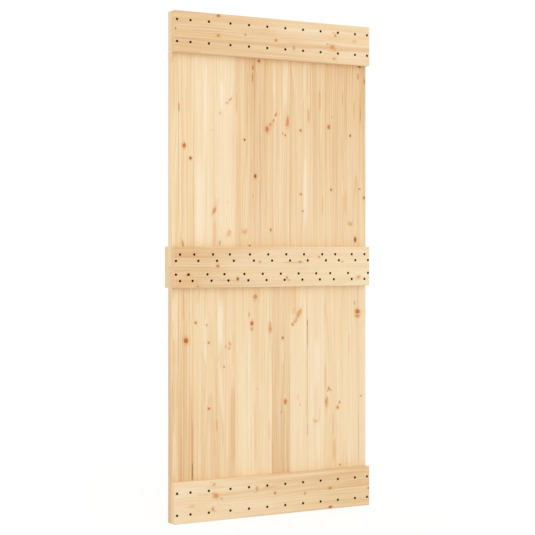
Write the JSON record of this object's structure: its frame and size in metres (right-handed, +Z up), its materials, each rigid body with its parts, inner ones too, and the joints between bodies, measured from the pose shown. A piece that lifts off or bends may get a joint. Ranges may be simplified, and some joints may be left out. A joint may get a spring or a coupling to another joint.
{
  "type": "barn door",
  "caption": "Sliding barn door leaf of upright tongue and groove pine boards, held together by broad cross rails with rows of dark countersunk screws, hung over a doorway.",
  "frame": {"origin": "middle of the leaf's bottom edge, at mid-thickness of the boards", "axes": "+X across the leaf from left to right seen from the front, -Y out of the front face with the three rails, +Z up"},
  "size_m": [0.95, 0.09, 2.1],
  "materials": {
    "pine_boards": "bare planed pine with knots and upright grain",
    "pine_rails": "bare planed pine with knots and level grain",
    "black_screws": "black coated steel, low sheen"
  },
  "bodies": {
    "root": {"upper_board_01": "pine_boards", "upper_board_02": "pine_boards", "upper_board_03": "pine_boards", "upper_board_04": "pine_boards", "upper_board_05": "pine_boards", "upper_board_06": "pine_boards", "upper_board_07": "pine_boards", "upper_board_08": "pine_boards", "upper_board_09": "pine_boards", "upper_board_10": "pine_boards", "upper_board_11": "pine_boards", "upper_board_12": "pine_boards", "lower_board_01": "pine_boards", "lower_board_02": "pine_boards", "lower_board_03": "pine_boards", "lower_board_04": "pine_boards", "lower_board_05": "pine_boards", "lower_board_06": "pine_boards", "lower_board_07": "pine_boards", "lower_board_08": "pine_boards", "lower_board_09": "pine_boards", "lower_board_10": "pine_boards", "lower_board_11": "pine_boards", "lower_board_12": "pine_boards", "top_rail": "pine_rails", "middle_rail_front": "pine_rails", "middle_rail_back": "pine_rails", "bottom_rail": "pine_rails", "top_rail_screws": "black_screws", "middle_rail_screws": "black_screws", "bottom_rail_screws": "black_screws"}
  },
  "joints": []
}
